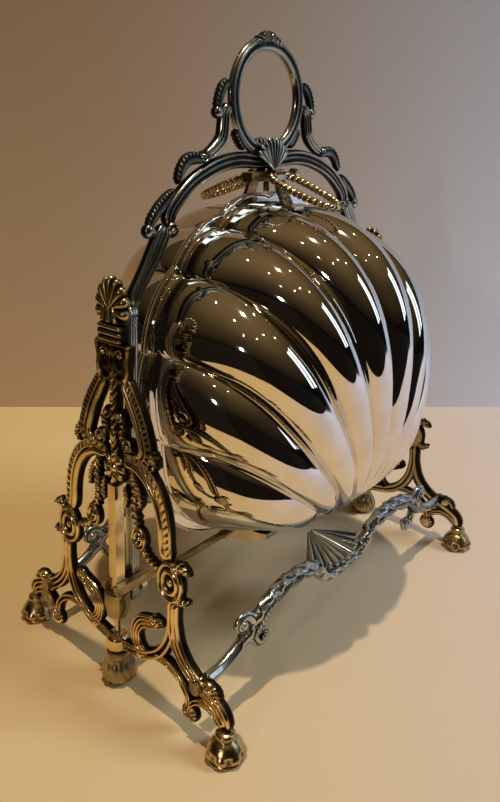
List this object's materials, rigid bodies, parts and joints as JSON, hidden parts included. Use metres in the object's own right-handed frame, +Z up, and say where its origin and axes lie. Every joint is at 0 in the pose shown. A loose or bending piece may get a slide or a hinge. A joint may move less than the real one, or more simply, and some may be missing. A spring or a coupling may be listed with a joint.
{
  "type": "folding biscuit box",
  "caption": "Silver-plated folding biscuit box: fluted shell bowls hinged on a rod between cast scrollwork end supports, with an arched ring handle that lifts to fold them out.",
  "frame": {"origin": "centre of the footprint at table level", "axes": "+Z up, X along the hinge rod from end support to end support, -Y towards the front bowl"},
  "size_m": [0.233, 0.1602, 0.2898],
  "materials": {
    "cast_silver": "silver-plated casting, dark in the recesses and worn bright on the edges",
    "polished_silver": "mirror-polished silver plate",
    "plain_silver": "plain silver plate, lightly worn",
    "dark_silver": "tarnished silver plate",
    "gilt_silver": "silver plate with a golden tint"
  },
  "bodies": {
    "stand": {"end_support_left": "cast_silver", "end_support_right": "cast_silver", "finial_left": "cast_silver", "finial_right": "cast_silver", "foot_front_left": "cast_silver", "foot_front_right": "cast_silver", "foot_rear_left": "cast_silver", "foot_rear_right": "cast_silver", "pear_foot_left": "cast_silver", "pear_foot_right": "cast_silver", "guide_rod_left": "plain_silver", "guide_rod_right": "plain_silver", "rod_collar_left": "dark_silver", "rod_collar_right": "dark_silver", "stretcher_front": "cast_silver", "stretcher_rear": "cast_silver", "stretcher_screw_front_left": "dark_silver", "stretcher_screw_front_right": "dark_silver", "stretcher_screw_rear_left": "dark_silver", "stretcher_screw_rear_right": "dark_silver", "bowl_rest_front": "cast_silver", "bowl_rest_rear": "cast_silver"},
    "handle_frame": {"handle_arch": "cast_silver", "ring_handle": "cast_silver", "arch_crest_front": "cast_silver", "arch_crest_rear": "cast_silver", "handle_leg_left": "plain_silver", "handle_leg_right": "plain_silver", "guide_fork_left": "dark_silver", "guide_fork_right": "dark_silver", "hinge_rod": "dark_silver", "axle_collar_left": "plain_silver", "axle_collar_right": "plain_silver", "catch_block": "dark_silver"},
    "front_shell": {"bowl_front": "polished_silver", "mouth_flange_front": "polished_silver", "hinge_leaf_front": "plain_silver", "leaf_rivet_front_left": "plain_silver", "leaf_rivet_front_right": "plain_silver", "catch_strap_front": "plain_silver", "cover_pin_front": "dark_silver"},
    "rear_shell": {"bowl_rear": "polished_silver", "mouth_flange_rear": "polished_silver", "hinge_leaf_rear": "plain_silver", "leaf_rivet_rear_left": "plain_silver", "leaf_rivet_rear_right": "plain_silver", "catch_strap_rear": "plain_silver", "cover_pin_rear": "dark_silver"},
    "front_cover": {"inner_cover_front": "plain_silver", "cover_knob_front": "gilt_silver"},
    "rear_cover": {"inner_cover_rear": "plain_silver", "cover_knob_rear": "gilt_silver"},
    "front_loop": {"pull_loop_front": "gilt_silver"},
    "rear_loop": {"pull_loop_rear": "gilt_silver"},
    "catch_bolt": {"catch_bolt": "plain_silver"}
  },
  "joints": [
    {"name": "handle_lift", "type": "slide", "parent": "stand", "child": "handle_frame", "axis": [0, 0, 1], "range_m": [0, 0.046]},
    {"name": "front_bowl_hinge", "type": "hinge", "parent": "handle_frame", "child": "front_shell", "pos_m": [0, 0, 0.046], "axis": [1, 0, 0], "range_deg": [0, 64]},
    {"name": "rear_bowl_hinge", "type": "hinge", "parent": "handle_frame", "child": "rear_shell", "pos_m": [0, 0, 0.046], "axis": [-1, 0, 0], "range_deg": [0, 64]},
    {"name": "front_cover_hinge", "type": "hinge", "parent": "front_shell", "child": "front_cover", "pos_m": [0, -0.0044, 0.0615], "axis": [-1, 0, 0], "range_deg": [0, 27]},
    {"name": "rear_cover_hinge", "type": "hinge", "parent": "rear_shell", "child": "rear_cover", "pos_m": [0, 0.0044, 0.0615], "axis": [1, 0, 0], "range_deg": [0, 27]},
    {"name": "front_loop_hinge", "type": "hinge", "parent": "front_shell", "child": "front_loop", "pos_m": [0, -0.0066, 0.2284], "axis": [-1, 0, 0], "range_deg": [0, 55]},
    {"name": "rear_loop_hinge", "type": "hinge", "parent": "rear_shell", "child": "rear_loop", "pos_m": [0, 0.0066, 0.2284], "axis": [1, 0, 0], "range_deg": [0, 55]},
    {"name": "catch_bolt_slide", "type": "slide", "parent": "handle_frame", "child": "catch_bolt", "axis": [-1, 0, 0], "range_m": [0, 0.004]}
  ],
  "couplings": [
    {"joint": "front_bowl_hinge", "follows": "handle_lift", "rad_per_m": 24.28},
    {"joint": "rear_bowl_hinge", "follows": "handle_lift", "rad_per_m": 24.28},
    {"joint": "front_cover_hinge", "follows": "handle_lift", "rad_per_m": 10.24},
    {"joint": "rear_cover_hinge", "follows": "handle_lift", "rad_per_m": 10.24}
  ]
}
